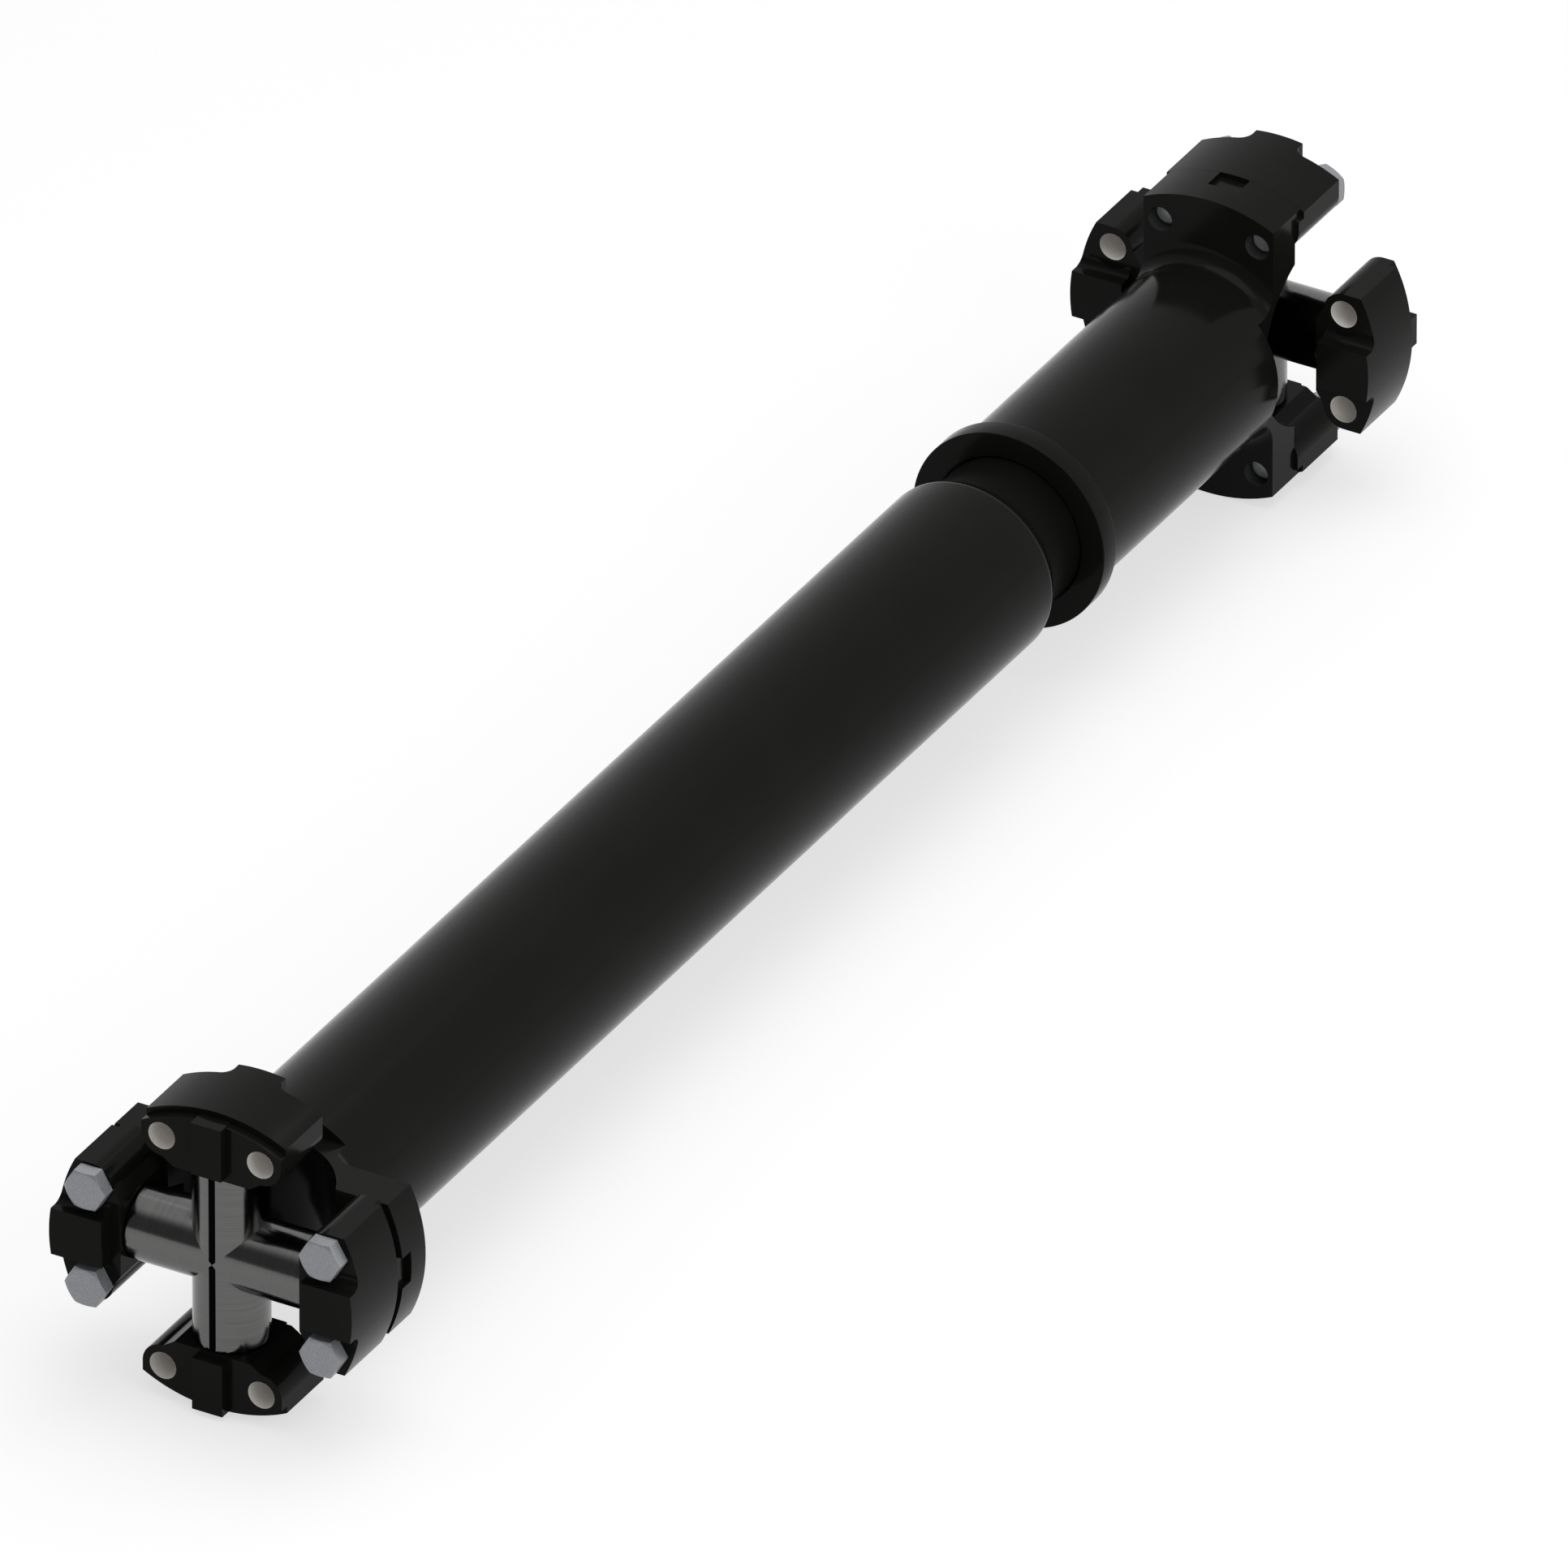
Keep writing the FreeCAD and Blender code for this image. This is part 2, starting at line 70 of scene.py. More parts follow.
# Where the bolts and their holes are: out from the shaft's axis, and to each side of the block's middle.
BOLT_ROW = 0.0775
BOLT_HALF_PITCH = 0.0325

# What counts as one point, as lying in a plane, and as one flat face (in degrees).
MERGE_DISTANCE = 2e-6
PLANE_SLACK = 1e-5
FLAT_ANGLE = 0.2

# The most of a side that the rounding of one corner takes, and the span that holds most of a noise.
SIDE_SHARE = 0.45
NOISE_SPAN = (0.3, 0.7)


class Slot(Enum):
    """Names of the material slots."""

    PAINT = "black_paint"
    SLEEVE = "sleeve_coating"
    CROSS = "cross_steel"
    BEARING = "bearing_steel"
    BOLT = "zinc_bolt"
    RUBBER = "seal_rubber"


class CrossFinish(IntEnum):
    """The materials of a cross, by their number in its mesh."""

    GROUND_X = 0
    GROUND_Z = 1
    # The line's finish is a painted dark reflection: near-black paint laid in a shallow groove.
    LINE = 2


class Arm(Enum):
    """The four ways that a trunnion points, as unit vectors."""

    LEFT = (-1.0, 0.0, 0.0)
    RIGHT = (1.0, 0.0, 0.0)
    TOP = (0.0, 0.0, 1.0)
    BOTTOM = (0.0, 0.0, -1.0)

    @property
    def label(self) -> str:
        """The word for this arm in the names of nodes."""
        return self.name.lower()


class End(Enum):
    """The two ends of the shaft: name, cross centre along Y, and the way inboard."""

    NEAR = ("near", 0.023, 1.0)
    FAR = ("far", 1.215, -1.0)

    @property
    def label(self) -> str:
        """The word for this end in the names of nodes."""
        return self.value[0]

    @property
    def centre(self) -> float:
        """Where the cross centre is along Y."""
        return self.value[1]

    @property
    def inboard(self) -> float:
        """1 where inboard is +Y, and -1 where it is -Y."""
        return self.value[2]

    @property
    def yoke_body(self) -> str:
        """The CAD body that this end's yoke belongs to."""
        return "shaft_tube" if self is End.NEAR else "slip_sleeve"

    @property
    def yoke_arms(self) -> tuple[Arm, Arm]:
        """The arms whose blocks are bolted to the shaft's own yoke."""
        return (Arm.LEFT, Arm.RIGHT) if self is End.NEAR else (Arm.TOP, Arm.BOTTOM)

    @property
    def flange_arms(self) -> tuple[Arm, Arm]:
        """The arms whose blocks bolt to the machine."""
        return (Arm.TOP, Arm.BOTTOM) if self is End.NEAR else (Arm.LEFT, Arm.RIGHT)


# Meshes


@dataclass
class Patch:
    """A grid of points, rows by columns, that becomes one patch of a piece's surface.

    The last column joins the first, and with wrap_rows the last row joins the first too.
    """

    points: np.ndarray
    wrap_rows: bool = False
    finish: int = 0

    def quads(self, first: int) -> np.ndarray:
        """Quad (i, j) joins point (i, j) to its neighbours in the next column and the next row.

        Args:
            first: number of the patch's first point in the whole piece.

        Returns:
            One row of four point numbers for each quad.
        """
        rows, columns = self.points.shape[:2]
        quad_rows = rows if self.wrap_rows else rows - 1
        i, j = np.divmod(np.arange(quad_rows * columns), columns)
        k, m = (i + 1) % rows, (j + 1) % columns
        return first + np.stack([i * columns + j, i * columns + m, k * columns + m, k * columns + j], axis=1)


def eased(profile: np.ndarray, radius: float | list[float], steps: int = 4) -> np.ndarray:
    """Rounds the inner corners of an open profile.

    Each corner gives way to steps + 1 points of a quadratic curve: (1-t)^2 times the point one radius
    before the corner, plus 2t(1-t) times the corner, plus t^2 times the point one radius past it. The
    radius shrinks to SIDE_SHARE of a side that is short, and a radius of 0 keeps the corner.

    Args:
        profile: points as rows of radius and length.
        radius: how far from the corner the curve starts, for all corners or one for each.
        steps: number of spans in each curve.

    Returns:
        The new profile, with its two end points kept.
    """
    before, corner, after = profile[:-2], profile[1:-1], profile[2:]
    back, on = before - corner, after - corner
    back_length = np.linalg.norm(back, axis=1, keepdims=True)
    on_length = np.linalg.norm(on, axis=1, keepdims=True)
    reach = np.broadcast_to(np.reshape(radius, (-1, 1)), back_length.shape)
    start = corner + back / back_length * np.minimum(reach, SIDE_SHARE * back_length)
    end = corner + on / on_length * np.minimum(reach, SIDE_SHARE * on_length)
    t = np.linspace(0, 1, steps + 1)[None, :, None]
    curve = (1 - t) ** 2 * start[:, None] + 2 * t * (1 - t) * corner[:, None] + t**2 * end[:, None]
    return np.vstack([profile[:1], curve.reshape(-1, 2), profile[-1:]])


def divided(profile: np.ndarray, longest: float) -> np.ndarray:
    """Splits the long sides of a profile into equal spans.

    Args:
        profile: points as rows of radius and length.
        longest: the longest span allowed.

    Returns:
        The profile with points added in line.
    """
    length = np.linalg.norm(np.diff(profile, axis=0), axis=1)
    counts = np.maximum(1, np.ceil(length / longest)).astype(int)
    share = np.concatenate([i + np.arange(c) / c for i, c in enumerate(counts)] + [[len(counts)]])
    return np.stack([np.interp(share, np.arange(len(profile)), part) for part in profile.T], axis=1)


def ring_ways(axis: np.ndarray, columns: int) -> np.ndarray:
    """Unit vectors evenly spaced round an axis: cos(turn) * side + sin(turn) * rise.

    Args:
        axis: unit vector along the axis.
        columns: number of vectors.

    Returns:
        One row for each vector.
    """
    side = np.cross(axis, [0.0, 0.0, 1.0] if abs(axis[2]) < 0.5 else [0.0, 1.0, 0.0])
    rise = np.cross(axis, side)
    turn = 2 * np.pi * np.arange(columns) / columns
    return np.cos(turn)[:, None] * side + np.sin(turn)[:, None] * rise


def round_grid(radii: np.ndarray, lengths: np.ndarray, centre: np.ndarray, axis: np.ndarray) -> np.ndarray:
    """Points round an axis: centre + length * axis + radius * the unit vector of the column.

    Args:
        radii: rows by columns.
        lengths: the same shape as radii, or able to broadcast with it.
        centre: where length 0 is.
        axis: unit vector along the axis.

    Returns:
        Rows by columns by 3.
    """
    radii, lengths = np.broadcast_arrays(radii, lengths)
    return centre + lengths[..., None] * axis + radii[..., None] * ring_ways(axis, radii.shape[1])


def turned(profile: np.ndarray, centre: np.ndarray, axis: np.ndarray, columns: int = 192) -> np.ndarray:
    """Carries a profile of radius and length round an axis: the form that a lathe makes.

    Args:
        profile: points as rows of radius and length.
        centre: where length 0 is on the axis.
        axis: unit vector along the axis.
        columns: number of places round the axis.

    Returns:
        Rows by columns by 3.
    """
    radii = np.repeat(profile[:, :1], columns, axis=1)
    return round_grid(radii, profile[:, 1:], centre, axis)


def placed(name: str, data: bpy.types.ID) -> bpy.types.Object:
    """Makes an object of a mesh, a camera or a lamp and links it to the scene.

    Args:
        name: the new object's name.
        data: the mesh, camera or lamp.

    Returns:
        The new object, at the origin.
    """
    thing = bpy.data.objects.new(name, data)
    bpy.context.scene.collection.objects.link(thing)
    return thing


def pointed(name: str, data: bpy.types.ID, place: Vector, way: Vector) -> bpy.types.Object:
    """Makes an object of a camera or a lamp that stands at a place and faces a way.

    Args:
        name: the new object's name.
        data: the camera or lamp.
        place: where it stands.
        way: the way that it faces.

    Returns:
        The new object.
    """
    thing = placed(name, data)
    thing.location = place
    thing.rotation_mode = "QUATERNION"
    thing.rotation_quaternion = way.to_track_quat("-Z", "Y")
    return thing


def merge(form: bmesh.types.BMesh) -> None:
    """Joins the points that share a place, and drops what has no length or area."""
    bmesh.ops.remove_doubles(form, verts=form.verts, dist=MERGE_DISTANCE)
    bmesh.ops.dissolve_degenerate(form, edges=form.edges, dist=MERGE_DISTANCE)


def smooth(mesh: bpy.types.Mesh) -> None:
    """Shades every face of a mesh smooth."""
    mesh.polygons.foreach_set("use_smooth", np.ones(len(mesh.polygons), bool))


def face_vectors(mesh: bpy.types.Mesh, name: str) -> np.ndarray:
    """Reads one vector of every face of a mesh.

    Args:
        mesh: the mesh.
        name: the vector's name in the mesh, such as center or normal.

    Returns:
        One row for each face.
    """
    values = np.zeros(len(mesh.polygons) * 3)
    mesh.polygons.foreach_get(name, values)
    return values.reshape(-1, 3)


def make_piece(name: str, patches: list[Patch], sharp: float = 32.0) -> bpy.types.Object:
    """Puts patches into one mesh, joins their shared points and turns the faces outwards.

    Args:
        name: the new piece's name.
        patches: the patches of its surface.
        sharp: angle in degrees above which an edge stays sharp in the shading.

    Returns:
        The new object, at the origin.
    """
    firsts = np.cumsum([0] + [p.points.shape[0] * p.points.shape[1] for p in patches])
    points = np.vstack([p.points.reshape(-1, 3) for p in patches])
    quads = [p.quads(int(first)) for p, first in zip(patches, firsts)]
    finishes = np.concatenate([np.full(len(q), int(p.finish)) for p, q in zip(patches, quads)])
    mesh = bpy.data.meshes.new(name)
    mesh.from_pydata(points, [], np.vstack(quads).tolist())
    mesh.polygons.foreach_set("material_index", finishes.astype(np.int32))
    form = bmesh.new()
    form.from_mesh(mesh)
    merge(form)
    bmesh.ops.recalc_face_normals(form, faces=form.faces)
    form.to_mesh(mesh)
    form.free()
    smooth(mesh)
    mesh.set_sharp_from_angle(angle=math.radians(sharp))
    mesh.update()
    return placed(name, mesh)


def eased_copy(
    name: str, node: bpy.types.Object, bevel: float, weld: float | None = None, sharp: float = 30.0
) -> bpy.types.Object:
    """Copies a CAD form, joins its loose triangles and rounds its edges with a live bevel.

    An edge is rounded where its two faces turn by more than the sharp angle, apart from the edges in the
    weld's plane, which stay sharp and flush with the tube.

    Args:
        name: the new piece's name.
        node: the CAD node to copy.
        bevel: width of the rounding.
        weld: place along Y of the plane where the form is welded to a tube.
        sharp: angle in degrees above which an edge is rounded.

    Returns:
        The new object, at the origin.
    """
    mesh = bpy.data.meshes.new(name)
    form = bmesh.new()
    form.from_mesh(node.data)
    merge(form)
    bmesh.ops.dissolve_limit(
        form, angle_limit=math.radians(FLAT_ANGLE), use_dissolve_boundaries=False,
        verts=form.verts, edges=form.edges,
    )
    weights = form.edges.layers.float.new("bevel_weight_edge")
    for edge in form.edges:
        if edge.calc_face_angle(0.0) > math.radians(sharp):
            flush = weld is not None and all(abs(v.co.y - weld) < PLANE_SLACK for v in edge.verts)
            edge[weights] = 0.0 if flush else 1.0
            edge.smooth = not flush
    form.to_mesh(mesh)
    form.free()
    smooth(mesh)
    piece = placed(name, mesh)
    rounding = piece.modifiers.new("eased_edges", "BEVEL")
    rounding.width = bevel
    rounding.segments = 3
    rounding.limit_method = "WEIGHT"
    rounding.use_clamp_overlap = True
    shading = piece.modifiers.new("flat_faces_stay_flat", "WEIGHTED_NORMAL")
    shading.keep_sharp = True
    return piece


# Finishes


class NodeSheet:
    """The node tree of a material or the world, with short calls for what such trees share."""

    def __init__(self, owner: bpy.types.Material | bpy.types.World, output: str) -> None:
        """Empties the owner's tree and gives it an output.

        Args:
            owner: the material or the world.
            output: the kind of its output node.
        """
        owner.use_nodes = True
        self.tree = owner.node_tree
        self.tree.nodes.clear()
        self.surface = self.add(output).inputs["Surface"]

    def add(self, kind: str) -> bpy.types.Node:
        """Adds a node of a kind."""
        return self.tree.nodes.new(kind)

    def join(self, source: Socket, target: Socket) -> None:
        """Links two sockets."""
        self.tree.links.new(source, target)

    def maths(self, operation: str, first: Socket, second: Socket) -> Socket:
        """Makes one number out of two.

        Args:
            operation: the node's word for what is done with them.
            first: the first number.
            second: the second number.

        Returns:
            The result's socket.
        """
        node = self.add("ShaderNodeMath")
        node.operation = operation
        self.join(first, node.inputs[0])
        self.join(second, node.inputs[1])
        return node.outputs["Value"]

    def ranged(self, value: Socket, before: Pair, after: Pair, kind: str = "LINEAR") -> Socket:
        """Carries a number from one span to another, and no further than the span's ends.

        Args:
            value: the number.
            before: the span that it comes from.
            after: the span that it goes to.
            kind: LINEAR, or SMOOTHSTEP for a step without corners.

        Returns:
            The result's socket.
        """
        node = self.add("ShaderNodeMapRange")
        node.interpolation_type = kind
        node.inputs["From Min"].default_value, node.inputs["From Max"].default_value = before
        node.inputs["To Min"].default_value, node.inputs["To Max"].default_value = after
        self.join(value, node.inputs["Value"])
        return node.outputs["Result"]

    def split(self, unseen: Socket, seen: Socket) -> None:
        """Shows one shader to camera, glossy and transmission rays, and another to all other rays.

        Args:
            unseen: the shader for the rays that light the object.
            seen: the shader for the rays that show this surface itself.
        """
        path = self.add("ShaderNodeLightPath")
        shown = self.maths("MAXIMUM", path.outputs["Is Camera Ray"], path.outputs["Is Glossy Ray"])
        shown = self.maths("MAXIMUM", shown, path.outputs["Is Transmission Ray"])
        mix = self.add("ShaderNodeMixShader")
        self.join(shown, mix.inputs["Fac"])
        self.join(unseen, mix.inputs[1])
        self.join(seen, mix.inputs[2])
        self.join(mix.outputs["Shader"], self.surface)


class FinishSheet(NodeSheet):
    """A material with one shader, whose patterns read Object coordinates."""

    def __init__(self, name: str) -> None:
        """Makes the material with its shader.

        Args:
            name: the material's name.
        """
        self.material = bpy.data.materials.new(name)
        super().__init__(self.material, "ShaderNodeOutputMaterial")
        self.shader = self.add("ShaderNodeBsdfPrincipled")
        self.join(self.shader.outputs["BSDF"], self.surface)
        self.places = self.add("ShaderNodeTexCoord").outputs["Object"]

    def noise(self, scale: float | Triple, detail: float = 3.0) -> Socket:
        """Noise in Object coordinates.

        Args:
            scale: waves per metre, one number for every way or one for each of X, Y and Z.
            detail: number of finer layers.

        Returns:
            The noise's value socket.
        """
        mapping = self.add("ShaderNodeMapping")
        mapping.inputs["Scale"].default_value = scale if isinstance(scale, tuple) else (scale,) * 3
        self.join(self.places, mapping.inputs["Vector"])
        noise = self.add("ShaderNodeTexNoise")
        noise.inputs["Scale"].default_value = 1.0
        noise.inputs["Detail"].default_value = detail
        self.join(mapping.outputs["Vector"], noise.inputs["Vector"])
        return noise.outputs["Fac"]

    def colour(self, value: Socket, dark: Triple, light: Triple) -> None:
        """Colours the shader from dark to light as a noise goes through its span.

        Args:
            value: the noise.
            dark: colour at the span's low end.
            light: colour at its high end.
        """
        ramp = self.add("ShaderNodeValToRGB")
        stops = ramp.color_ramp.elements
        stops[0].position, stops[1].position = NOISE_SPAN
        stops[0].color, stops[1].color = (*dark, 1.0), (*light, 1.0)
        self.join(value, ramp.inputs["Fac"])
        self.join(ramp.outputs["Color"], self.shader.inputs["Base Color"])

    def roughen(self, value: Socket, rough: Pair) -> None:
        """Takes the shader's roughness through a span as a noise goes through its own."""
        self.join(self.ranged(value, NOISE_SPAN, rough), self.shader.inputs["Roughness"])

    def bump(self, height: Socket, distance: float) -> None:
        """Gives the surface the relief of a noise.

        Args:
            height: the noise.
            distance: height in metres of a full step.
        """
        bump = self.add("ShaderNodeBump")
        bump.inputs["Strength"].default_value = 1.0
        bump.inputs["Distance"].default_value = distance
        self.join(height, bump.inputs["Height"])
        self.join(bump.outputs["Normal"], self.shader.inputs["Normal"])


@dataclass(frozen=True)
class SatinPaint:
    """Sprayed black paint: soft sheen, faint cloudiness and a fine spray texture."""

    name: str = "satin_black_paint"
    dark: Triple = (0.0060, 0.0059, 0.0054)
    light: Triple = (0.0073, 0.0072, 0.0066)
    rough: Pair = (0.13, 0.18)
    depth: float = 0.0000015
    gloss: float = 0.048
    clouds: float = 14.0
    sheen: float = 60.0
    spray: float = 900.0

    def build(self) -> bpy.types.Material:
        """Makes the material.

        Returns:
            The new material.
        """
        sheet = FinishSheet(self.name)
        sheet.colour(sheet.noise(self.clouds), self.dark, self.light)
        sheet.roughen(sheet.noise(self.sheen), self.rough)
        sheet.bump(sheet.noise(self.spray, 2.0), self.depth)
        sheet.shader.inputs["Specular IOR Level"].default_value = self.gloss
        return sheet.material


@dataclass(frozen=True)
class GroundSteel:
    """Satin steel with fine grinding lines, which lie close together along the axis of most waves."""

    name: str
    dark: Triple = (0.105, 0.104, 0.103)
    light: Triple = (0.145, 0.144, 0.142)
    rough: Pair = (0.13, 0.18)
    lines: Triple = (3000.0, 25.0, 25.0)
    depth: float = 0.0000006
    metal: float = 1.0

    def build(self) -> bpy.types.Material:
        """Makes the material.

        Returns:
            The new material.
        """
        sheet = FinishSheet(self.name)
        lines = sheet.noise(self.lines, 2.0)
        sheet.colour(lines, self.dark, self.light)
        sheet.roughen(lines, self.rough)
        sheet.bump(lines, self.depth)
        sheet.shader.inputs["Metallic"].default_value = self.metal
        return sheet.material


@dataclass(frozen=True)
class ZincPlate:
    """Bluish zinc plate with the fine grain of a forged bolt head."""

    name: str = "zinc_plate"
    dark: Triple = (0.222, 0.23, 0.245)
    light: Triple = (0.31, 0.32, 0.337)
    rough: Pair = (0.34, 0.46)
    depth: float = 0.00002
    metal: float = 0.35
    sheen: float = 300.0
    grain: float = 1100.0

    def build(self) -> bpy.types.Material:
        """Makes the material.

        Returns:
            The new material.
        """
        sheet = FinishSheet(self.name)
        grain = sheet.noise(self.grain)
        sheet.colour(grain, self.dark, self.light)
        sheet.roughen(sheet.noise(self.sheen), self.rough)
        sheet.bump(grain, self.depth)
        sheet.shader.inputs["Metallic"].default_value = self.metal
        return sheet.material


@dataclass(frozen=True)
class MouldedRubber:
    """Matt black rubber with a fine moulded texture."""

    name: str = "moulded_rubber"
    dark: Triple = (0.010, 0.010, 0.010)
    light: Triple = (0.016, 0.016, 0.016)
    rough: Pair = (0.62, 0.74)
    depth: float = 0.00002
    clouds: float = 120.0
    sheen: float = 400.0
    grain: float = 1400.0

    def build(self) -> bpy.types.Material:
        """Makes the material.

        Returns:
            The new material.
        """
        sheet = FinishSheet(self.name)
        sheet.colour(sheet.noise(self.clouds), self.dark, self.light)
        sheet.roughen(sheet.noise(self.sheen), self.rough)
        sheet.bump(sheet.noise(self.grain, 2.0), self.depth)
        return sheet.material


@dataclass
class Finishes:
    """Every finish on the shaft, made once and shared."""

    paint: bpy.types.Material = field(default_factory=SatinPaint().build)
    sleeve: bpy.types.Material = field(default_factory=SatinPaint(
        "smooth_sleeve_coating", dark=(0.0046, 0.0046, 0.0043), light=(0.0056, 0.0056, 0.0052),
        rough=(0.30, 0.36), depth=0.000001, gloss=0.015).build)
    # Painted dark reflection: near-black paint laid in the shallow line on the free cross arms.
    line: bpy.types.Material = field(default_factory=SatinPaint(
        "blackened_line", dark=(0.0006, 0.0007, 0.0010), light=(0.0009, 0.0010, 0.0014),
        rough=(0.50, 0.60), depth=0.000002, gloss=0.01).build)
    cross_x: bpy.types.Material = field(default_factory=GroundSteel("ground_steel_along_x").build)
    cross_z: bpy.types.Material = field(default_factory=GroundSteel(
        "ground_steel_along_z", lines=(25.0, 25.0, 3000.0)).build)
    bore: bpy.types.Material = field(default_factory=GroundSteel(
        "drilled_steel", dark=(0.66, 0.64, 0.605), light=(0.76, 0.735, 0.695), rough=(0.50, 0.60),
        lines=(60.0, 1400.0, 60.0), depth=0.000006, metal=0.0).build)
    thread: bpy.types.Material = field(default_factory=GroundSteel(
        "tapped_steel", dark=(0.07, 0.07, 0.069), light=(0.10, 0.099, 0.098), rough=(0.26, 0.34),
        lines=(60.0, 1400.0, 60.0), depth=0.000006, metal=0.7).build)
    bearing: bpy.types.Material = field(default_factory=GroundSteel(
        "hardened_steel", dark=(0.52, 0.52, 0.53), light=(0.60, 0.60, 0.61), rough=(0.14, 0.18),
        lines=(900.0, 900.0, 900.0)).build)
    zinc: bpy.types.Material = field(default_factory=ZincPlate().build)
    rubber: bpy.types.Material = field(default_factory=MouldedRubber().build)


def dress(
    piece: bpy.types.Object, materials: list[bpy.types.Material], body: str, node: str
) -> None:
    """Gives a new piece its materials and body, and hides the CAD node that it stands for.

    Args:
        piece: the new piece.
        materials: its materials, in the order of its faces' finishes.
        body: the CAD body that it rides on.
        node: the CAD node that it replaces.
    """
    for material in materials:
        piece.data.materials.append(material)
    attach(piece, body)
    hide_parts(node)
    LOG.info("%s rides on %s", piece.name, body)


# Sub-assemblies


@dataclass
class TubeWork:
    """The main tube, the splined muff, and the cover tube with its collar."""

    tube_radius: float = 0.05715
    tube_bore: float = 0.05085
    near_weld: float = 0.118
    tube_end: float = 0.888
    bevel_length: float = 0.009
    bevel_depth: float = 0.0045
    bevel_ease: float = 0.0022
    tip_ease: float = 0.0003
    muff_radius: float = 0.0475
    muff_spigot: float = 0.030
    muff_end: float = 1.060
    muff_ease: float = 0.0008
    collar_face: float = 0.928
    collar_lip: float = 0.0065
    collar_width: float = 0.0145
    collar_radius: float = 0.064
    collar_bore: float = 0.0485
    collar_ease: float = 0.0006
    far_weld: float = 1.120
    teeth: int = 28
    tooth_columns: int = 12
    flank: float = 1.6
    tip_radius: float = 0.0353
    root_radius: float = 0.0323
    relief_radius: float = 0.040
    relief_length: float = 0.020
    longest_span: float = 0.02

    def lathe(self, name: str, outline: list[Pair], edge: float | list[float]) -> bpy.types.Object:
        """Turns a closed outline of radius and place along Y about the shaft's axis.

        Args:
            name: the new piece's name.
            outline: its corners, without repeating the first.
            edge: how far from a corner its rounding starts, for all corners or one for each.

        Returns:
            The new piece.
        """
        points = np.array(outline)
        start = (points[0] + points[-1]) / 2
        profile = eased(np.vstack([start, points, start]), edge)
        grid = turned(divided(profile[:-1], self.longest_span), ORIGIN, ALONG_SHAFT)
        return make_piece(name, [Patch(grid, wrap_rows=True)])

    def main_tube(self) -> bpy.types.Object:
        """The rolled tube with its soft bevel at the sliding end.

        Returns:
            The new piece.
        """
        tip = self.tube_radius - self.bevel_depth
        return self.lathe("main_tube_dressed", [
            (self.tube_bore, self.near_weld), (self.tube_radius, self.near_weld),
            (self.tube_radius, self.tube_end - self.bevel_length), (tip, self.tube_end),
            (self.tube_bore, self.tube_end),
        ], [0.0, 0.0, self.bevel_ease, self.tip_ease, self.tip_ease])

    def muff(self) -> bpy.types.Object:
        """The muff: a smooth outside, and a bore whose radius follows the spline's teeth.

        The bore's radius is root + (tip - root) * share, and the share is 0.5 + flank * cos(tooth angle),
        held between 0 and 1, so that steep flanks join the tips and the roots.

        Returns:
            The new piece.
        """
        start = self.tube_end - self.muff_spigot
        relief_end = start + self.relief_length
        columns = self.teeth * self.tooth_columns
        outside = eased(np.array([
            (self.relief_radius, start), (self.tube_bore, start), (self.tube_bore, self.tube_end),
            (self.muff_radius, self.tube_end), (self.muff_radius, self.muff_end),
            (self.tip_radius, self.muff_end),
        ]), self.muff_ease)
        relief = np.array([
            (self.tip_radius, relief_end), (self.relief_radius, relief_end), (self.relief_radius, start),
        ])
        tooth_angle = np.arange(columns) * 2 * np.pi / self.tooth_columns
        share = np.clip(0.5 + self.flank * np.cos(tooth_angle), 0, 1)
        bore = self.root_radius + (self.tip_radius - self.root_radius) * share
        rim = np.full(columns, self.tip_radius)
        patches = [Patch(turned(profile, ORIGIN, ALONG_SHAFT, columns))
                   for profile in (divided(outside, self.longest_span), relief)]
        for radii, ends in (
            ([rim, bore], [self.muff_end, self.muff_end]),
            ([bore, bore], [self.muff_end, relief_end]),
            ([bore, rim], [relief_end, relief_end]),
        ):
            patches.append(Patch(round_grid(np.array(radii), np.array(ends)[:, None], ORIGIN, ALONG_SHAFT)))
        return make_piece("spline_muff_dressed", patches)

    def cover_tube(self) -> bpy.types.Object:
        """The tube over the sliding pair.

        Returns:
            The new piece.
        """
        start = self.collar_face + self.collar_lip
        return self.lathe("cover_tube_dressed", [
            (self.tube_bore, start), (self.tube_radius, start), (self.tube_radius, self.far_weld),
            (self.tube_bore, self.far_weld),
        ], 0.0)

    def collar(self) -> bpy.types.Object:
        """The ring that closes the cover tube's open end.

        Returns:
            The new piece.
        """
        end = self.collar_face + self.collar_width
        lip = self.collar_face + self.collar_lip
        return self.lathe("cover_collar_dressed", [
            (self.collar_bore, self.collar_face), (self.collar_radius, self.collar_face),
            (self.collar_radius, end), (self.tube_radius, end), (self.tube_radius, lip),
            (self.collar_bore, lip),
        ], self.collar_ease)

    def build(self, finishes: Finishes) -> None:
        """Makes and dresses the pieces.

        Args:
            finishes: the shaft's finishes.
        """
        dress(self.main_tube(), [finishes.paint], "shaft_tube", "main_tube")
        dress(self.muff(), [finishes.sleeve], "shaft_tube", "spline_muff")
        dress(self.cover_tube(), [finishes.paint], "slip_sleeve", "cover_tube")
        dress(self.collar(), [finishes.paint], "slip_sleeve", "cover_collar")


